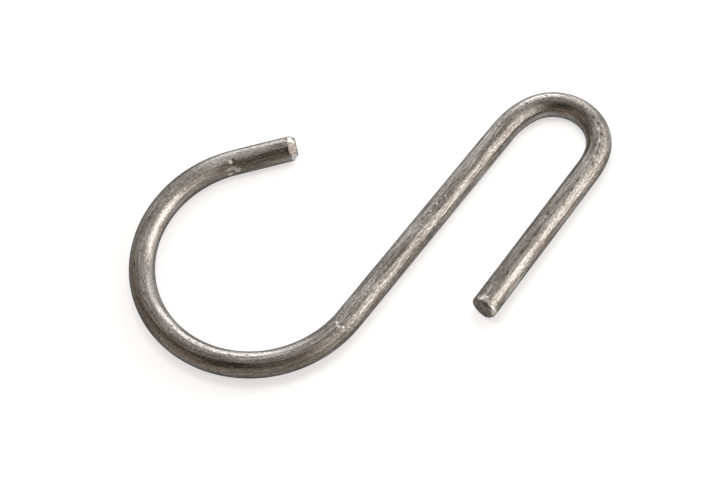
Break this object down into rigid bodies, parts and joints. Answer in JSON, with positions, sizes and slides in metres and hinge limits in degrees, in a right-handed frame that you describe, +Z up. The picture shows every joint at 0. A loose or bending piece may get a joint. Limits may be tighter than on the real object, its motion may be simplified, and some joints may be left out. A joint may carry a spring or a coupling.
{
  "type": "display hook",
  "caption": "Flat display hook bent from one round steel wire: a wide open loop for the load, a straight shank and a narrow U bend that hangs over a rail.",
  "frame": {"origin": "centre of the hook's bounding box, on the face it lies on", "axes": "+X along the shank from the wide loop towards the narrow bend, +Y towards the wide loop's side, +Z up out of the plane of the hook"},
  "size_m": [0.1066, 0.0814, 0.006],
  "materials": {
    "steel": "raw drawn mild steel, dull grey-brown with drawing lines"
  },
  "bodies": {
    "root": {"hook": "steel"}
  },
  "joints": []
}
